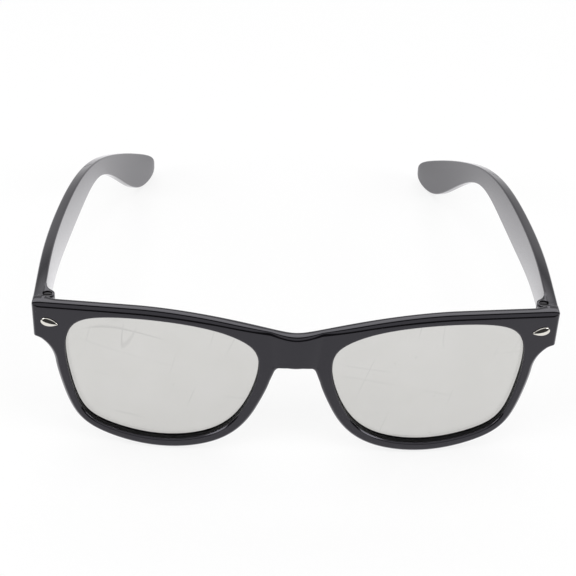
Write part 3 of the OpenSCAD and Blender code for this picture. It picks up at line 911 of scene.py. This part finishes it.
def laminated_film():
    """Polarising film between cellulose sheets: clear warm grey with faint smudges, specks and scratches.

    Real specks and scratches are a few hundredths of a millimetre wide. They are drawn coarser, to show.
    """
    material, tree, output = new_material("laminated_polarising_film")
    place = add_node(tree, "ShaderNodeTexCoord").outputs["Object"]
    smudge = add_node(tree, "ShaderNodeTexNoise", {"Scale": per_metre(11), "Detail": 3.0}, {"Vector": place})
    tint = add_node(tree, "ShaderNodeMix",
                    {"data_type": "RGBA", MIX_A: colour("#cfcecb"), MIX_B: colour("#d5d4d2")},
                    {"Factor": smudge.outputs["Fac"]})
    # Scratches: thin level lines of a noise stretched along two slants, kept only in patches
    patch = add_node(tree, "ShaderNodeTexNoise", {"Scale": per_metre(14), "Detail": 0.0}, {"Vector": place})
    kept = add_node(tree, "ShaderNodeMapRange", {"From Min": 0.54, "From Max": 0.64},
                    {"Value": patch.outputs["Fac"]})
    scratch_length = 90 * MM
    scratch_spacing = 9 * MM
    scratches = []
    for slant in (10, -74):
        along = add_node(tree, "ShaderNodeMapping",
                         {"vector_type": "TEXTURE", "Rotation": (0, math.radians(slant), 0),
                          "Scale": (scratch_length, scratch_length, scratch_spacing)}, {"Vector": place})
        hair = add_node(tree, "ShaderNodeTexNoise", {"Scale": 1.0, "Detail": 0.0},
                        {"Vector": along.outputs["Vector"]})
        off = add_node(tree, "ShaderNodeMath", {"operation": "SUBTRACT", 1: 0.5}, {0: hair.outputs["Fac"]})
        off = add_node(tree, "ShaderNodeMath", {"operation": "ABSOLUTE"}, {0: off.outputs[0]})
        line = add_node(tree, "ShaderNodeMapRange", {"From Max": 0.006, "To Min": 1.0, "To Max": 0.0},
                        {"Value": off.outputs[0]})
        scratch = add_node(tree, "ShaderNodeMath", {"operation": "MULTIPLY"},
                           {0: line.outputs["Result"], 1: kept.outputs["Result"]})
        scratches.append(scratch.outputs[0])
    scratch = add_node(tree, "ShaderNodeMath", {"operation": "MAXIMUM"}, {0: scratches[0], 1: scratches[1]})
    cells = add_node(tree, "ShaderNodeTexVoronoi", {"Scale": per_metre(7)}, {"Vector": place})
    speck = add_node(tree, "ShaderNodeMapRange",
                     {"From Min": 0.03, "From Max": 0.06, "To Min": 1.0, "To Max": 0.0},
                     {"Value": cells.outputs["Distance"]})
    mark = add_node(tree, "ShaderNodeMath", {"operation": "MAXIMUM"},
                    {0: scratch.outputs[0], 1: speck.outputs["Result"]})
    marked = add_node(tree, "ShaderNodeMix", {"data_type": "RGBA", MIX_B: colour("#c4c3c1")},
                      {"Factor": mark.outputs[0], MIX_A: tint.outputs[MIX_RESULT]})
    shader = add_node(tree, "ShaderNodeBsdfPrincipled",
                      {"IOR": 1.49, "Roughness": 0.0, "Transmission Weight": 1.0},
                      {"Base Color": marked.outputs[MIX_RESULT]})
    tree.links.new(shader.outputs["BSDF"], output.inputs["Surface"])
    return material


def blackened_steel_painted_shade():
    """Screw steel, turned and blackened: dark grey metal with a fine grain and small glints. Part of its
    darkness is painted shade of the recess round the screw head.
    """
    material, tree, output = new_material("blackened_steel_painted_shade")
    place = add_node(tree, "ShaderNodeTexCoord").outputs["Object"]
    grain = add_node(tree, "ShaderNodeTexNoise", {"Scale": per_metre(0.25), "Detail": 3.0},
                     {"Vector": place})
    # Painted shade in part: the grey is kept dark for the blackened steel and for the shade of the screw
    # recess.
    tint = add_node(tree, "ShaderNodeMix",
                    {"data_type": "RGBA", MIX_A: colour("#343335"), MIX_B: colour("#4a494b")},
                    {"Factor": grain.outputs["Fac"]})
    rough = add_node(tree, "ShaderNodeMapRange", {"To Min": 0.25, "To Max": 0.4},
                     {"Value": grain.outputs["Fac"]})
    shader = add_node(tree, "ShaderNodeBsdfPrincipled", {"Metallic": 1.0},
                      {"Base Color": tint.outputs[MIX_RESULT], "Roughness": rough.outputs["Result"]})
    tree.links.new(shader.outputs["BSDF"], output.inputs["Surface"])
    return material


def polished_nickel():
    """Rivet metal, nickel-plated and polished: bright and slightly warm, with a faint grain."""
    material, tree, output = new_material("polished_nickel")
    place = add_node(tree, "ShaderNodeTexCoord").outputs["Object"]
    grain = add_node(tree, "ShaderNodeTexNoise", {"Scale": per_metre(0.5), "Detail": 3.0}, {"Vector": place})
    tint = add_node(tree, "ShaderNodeMix",
                    {"data_type": "RGBA", MIX_A: colour("#dcd8d0"), MIX_B: colour("#ebe8e2")},
                    {"Factor": grain.outputs["Fac"]})
    rough = add_node(tree, "ShaderNodeMapRange", {"To Min": 0.08, "To Max": 0.18},
                     {"Value": grain.outputs["Fac"]})
    shader = add_node(tree, "ShaderNodeBsdfPrincipled", {"Metallic": 1.0},
                      {"Base Color": tint.outputs[MIX_RESULT], "Roughness": rough.outputs["Result"]})
    tree.links.new(shader.outputs["BSDF"], output.inputs["Surface"])
    return material


def give_material(piece, material):
    """Makes a material the only one of a piece."""
    piece.data.materials.clear()
    piece.data.materials.append(material)


# Pieces on their bodies

plastic = moulded_polycarbonate()
shaded_wall_plastic = shaded_wall_polycarbonate()
film = laminated_film()
steel = blackened_steel_painted_shade()
nickel = polished_nickel()

front = front_moulding()
give_material(front, plastic)
# The walls round the lenses take the plastic whose darkness is painted shade
front.data.materials.append(shaded_wall_plastic)
for wall in wall_faces(front):
    wall.material_index = 1
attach(front, "front")
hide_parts("front_frame")

left_temple = temple_moulding("left_temple_moulding")
right_temple = mirrored(left_temple, "right_temple_moulding")
left_lens = lens("left_lens")
right_lens = mirrored(left_lens, "right_lens")
left_rivet = rivet_head("left_rivet_head")
right_rivet = mirrored(left_rivet, "right_rivet_head")

for side, temple, pane, rivet in (("left", left_temple, left_lens, left_rivet),
                                  ("right", right_temple, right_lens, right_rivet)):
    give_material(temple, plastic)
    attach(temple, side + "_arm")
    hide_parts(side + "_temple")
    give_material(pane, film)
    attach(pane, "front")
    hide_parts(side + "_retarder_film", side + "_polariser_film", side + "_backing_film")
    give_material(rivet, nickel)
    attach(rivet, "front")
    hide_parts(side + "_rivet")
    give_material(bpy.data.objects[side + "_hinge_screw"], steel)


# Floor, light and camera

floor_front = 68.0
floor_reach = 4000.0
floor_white_share = 0.8


def white_to_the_eye(tree, white_share):
    """Share of the plain white that camera, mirror and see-through rays meet in place of the lit surface."""
    path = add_node(tree, "ShaderNodeLightPath")
    seen = add_node(tree, "ShaderNodeMath", {"operation": "MAXIMUM"},
                    {0: path.outputs["Is Camera Ray"], 1: path.outputs["Is Glossy Ray"]})
    seen = add_node(tree, "ShaderNodeMath", {"operation": "MAXIMUM"},
                    {0: seen.outputs[0], 1: path.outputs["Is Transmission Ray"]})
    share = add_node(tree, "ShaderNodeMath", {"operation": "MULTIPLY", 1: white_share}, {0: seen.outputs[0]})
    return share.outputs[0]


def studio_floor():
    """A wide white sheet that keeps the object's soft shadow and ends a short way in front of it."""
    near = bridge_y - floor_front
    corners = [(-floor_reach, near, 0), (floor_reach, near, 0),
               (floor_reach, floor_reach, 0), (-floor_reach, floor_reach, 0)]
    floor = new_piece("floor", corners, [(0, 1, 2, 3)])
    material, tree, output = new_material("white_floor")
    lit = add_node(tree, "ShaderNodeBsdfDiffuse", {"Color": colour("#f6f6f6")})
    plain = add_node(tree, "ShaderNodeEmission", {"Color": colour("#ffffff"), "Strength": 1.0})
    blend = add_node(tree, "ShaderNodeMixShader", {},
                     {0: white_to_the_eye(tree, floor_white_share), 1: lit.outputs["BSDF"],
                      2: plain.outputs["Emission"]})
    tree.links.new(blend.outputs["Shader"], output.inputs["Surface"])
    give_material(floor, material)


def studio_world():
    """A dim room in front, a light panel above it, a dark ceiling and a brighter panel high behind.

    Under that panel a dim gap leads to the pale backdrop. The eye and the lenses meet plain white all round.
    """
    world = bpy.data.worlds.new("studio")
    bpy.context.scene.world = world
    world.use_nodes = True
    tree = world.node_tree
    tree.nodes.clear()
    way = add_node(tree, "ShaderNodeTexCoord").outputs["Generated"]
    parts = add_node(tree, "ShaderNodeSeparateXYZ", {}, {"Vector": way})
    ahead = add_node(tree, "ShaderNodeMath", {"operation": "MULTIPLY", 1: -1.0}, {0: parts.outputs["Y"]})
    angle = add_node(tree, "ShaderNodeMath", {"operation": "ARCTAN2"},
                     {0: parts.outputs["Z"], 1: ahead.outputs[0]})
    share = add_node(tree, "ShaderNodeMath", {"operation": "DIVIDE", 1: math.pi}, {0: angle.outputs[0]})
    ramp = add_node(tree, "ShaderNodeValToRGB", {}, {"Fac": share.outputs[0]})
    # Brightness by angle in degrees, from the horizon in front over the zenith to the horizon behind
    stops = [(0, 0.04), (31, 0.04), (40, 1.0), (66, 1.0), (76, 0.03), (126, 0.03),
             (138, 2.0), (147, 2.0), (151, 0.4), (155, 0.75), (166, 0.9), (180, 1.1)]
    elements = ramp.color_ramp.elements
    while len(elements) < len(stops):
        elements.new(0.5)
    for element, (degrees, level) in zip(elements, stops):
        element.position = degrees / 180
        element.color = (level, level, level, 1)
    path = add_node(tree, "ShaderNodeLightPath")
    seen = add_node(tree, "ShaderNodeMath", {"operation": "MAXIMUM"},
                    {0: path.outputs["Is Camera Ray"], 1: path.outputs["Is Transmission Ray"]})
    final = add_node(tree, "ShaderNodeMix", {"data_type": "RGBA", MIX_B: (1, 1, 1, 1)},
                     {"Factor": seen.outputs[0], MIX_A: ramp.outputs["Color"]})
    background = add_node(tree, "ShaderNodeBackground", {"Strength": 1.0},
                          {"Color": final.outputs[MIX_RESULT]})
    output = add_node(tree, "ShaderNodeOutputWorld")
    tree.links.new(background.outputs["Background"], output.inputs["Surface"])


def soft_lamp(name, place, aim, width, power, in_gloss):
    """A square soft lamp at a place in millimetres, aimed at a point, that the gloss shows or leaves out."""
    lamp = bpy.data.lights.new(name, "AREA")
    lamp.size = width * MM
    lamp.energy = power
    thing = bpy.data.objects.new(name, lamp)
    thing.location = Vector(place) * MM
    thing.rotation_euler = (Vector(aim) - Vector(place)).to_track_quat("-Z", "Y").to_euler()
    thing.visible_glossy = in_gloss
    bpy.context.scene.collection.objects.link(thing)


def photo_camera():
    """The camera at the photograph's place, with its slight roll."""
    place = Vector((-14.061, -388.783, 284.103))
    aim = Vector((-1.127, -23.82, 21.168))
    roll = math.radians(2.3273)
    data = bpy.data.cameras.new("camera")
    data.sensor_width = 36
    data.lens = 92.586
    camera = bpy.data.objects.new("camera", data)
    turn = (aim - place).to_track_quat("-Z", "Y").to_matrix().to_4x4()
    camera.matrix_world = Matrix.Translation(place * MM) @ turn @ Matrix.Rotation(roll, 4, "Z")
    bpy.context.scene.collection.objects.link(camera)
    bpy.context.scene.camera = camera


studio_floor()
studio_world()
soft_lamp("overhead_lamp", place=(0, -100, 1400), aim=(0, 0, 0), width=1600, power=12, in_gloss=False)
soft_lamp("left_lamp", place=(900, -450, 450), aim=(0, -70, 30), width=500, power=3, in_gloss=True)
soft_lamp("right_lamp", place=(-900, -450, 450), aim=(0, -70, 30), width=500, power=3, in_gloss=True)
photo_camera()
bpy.context.scene.view_settings.view_transform = "Standard"
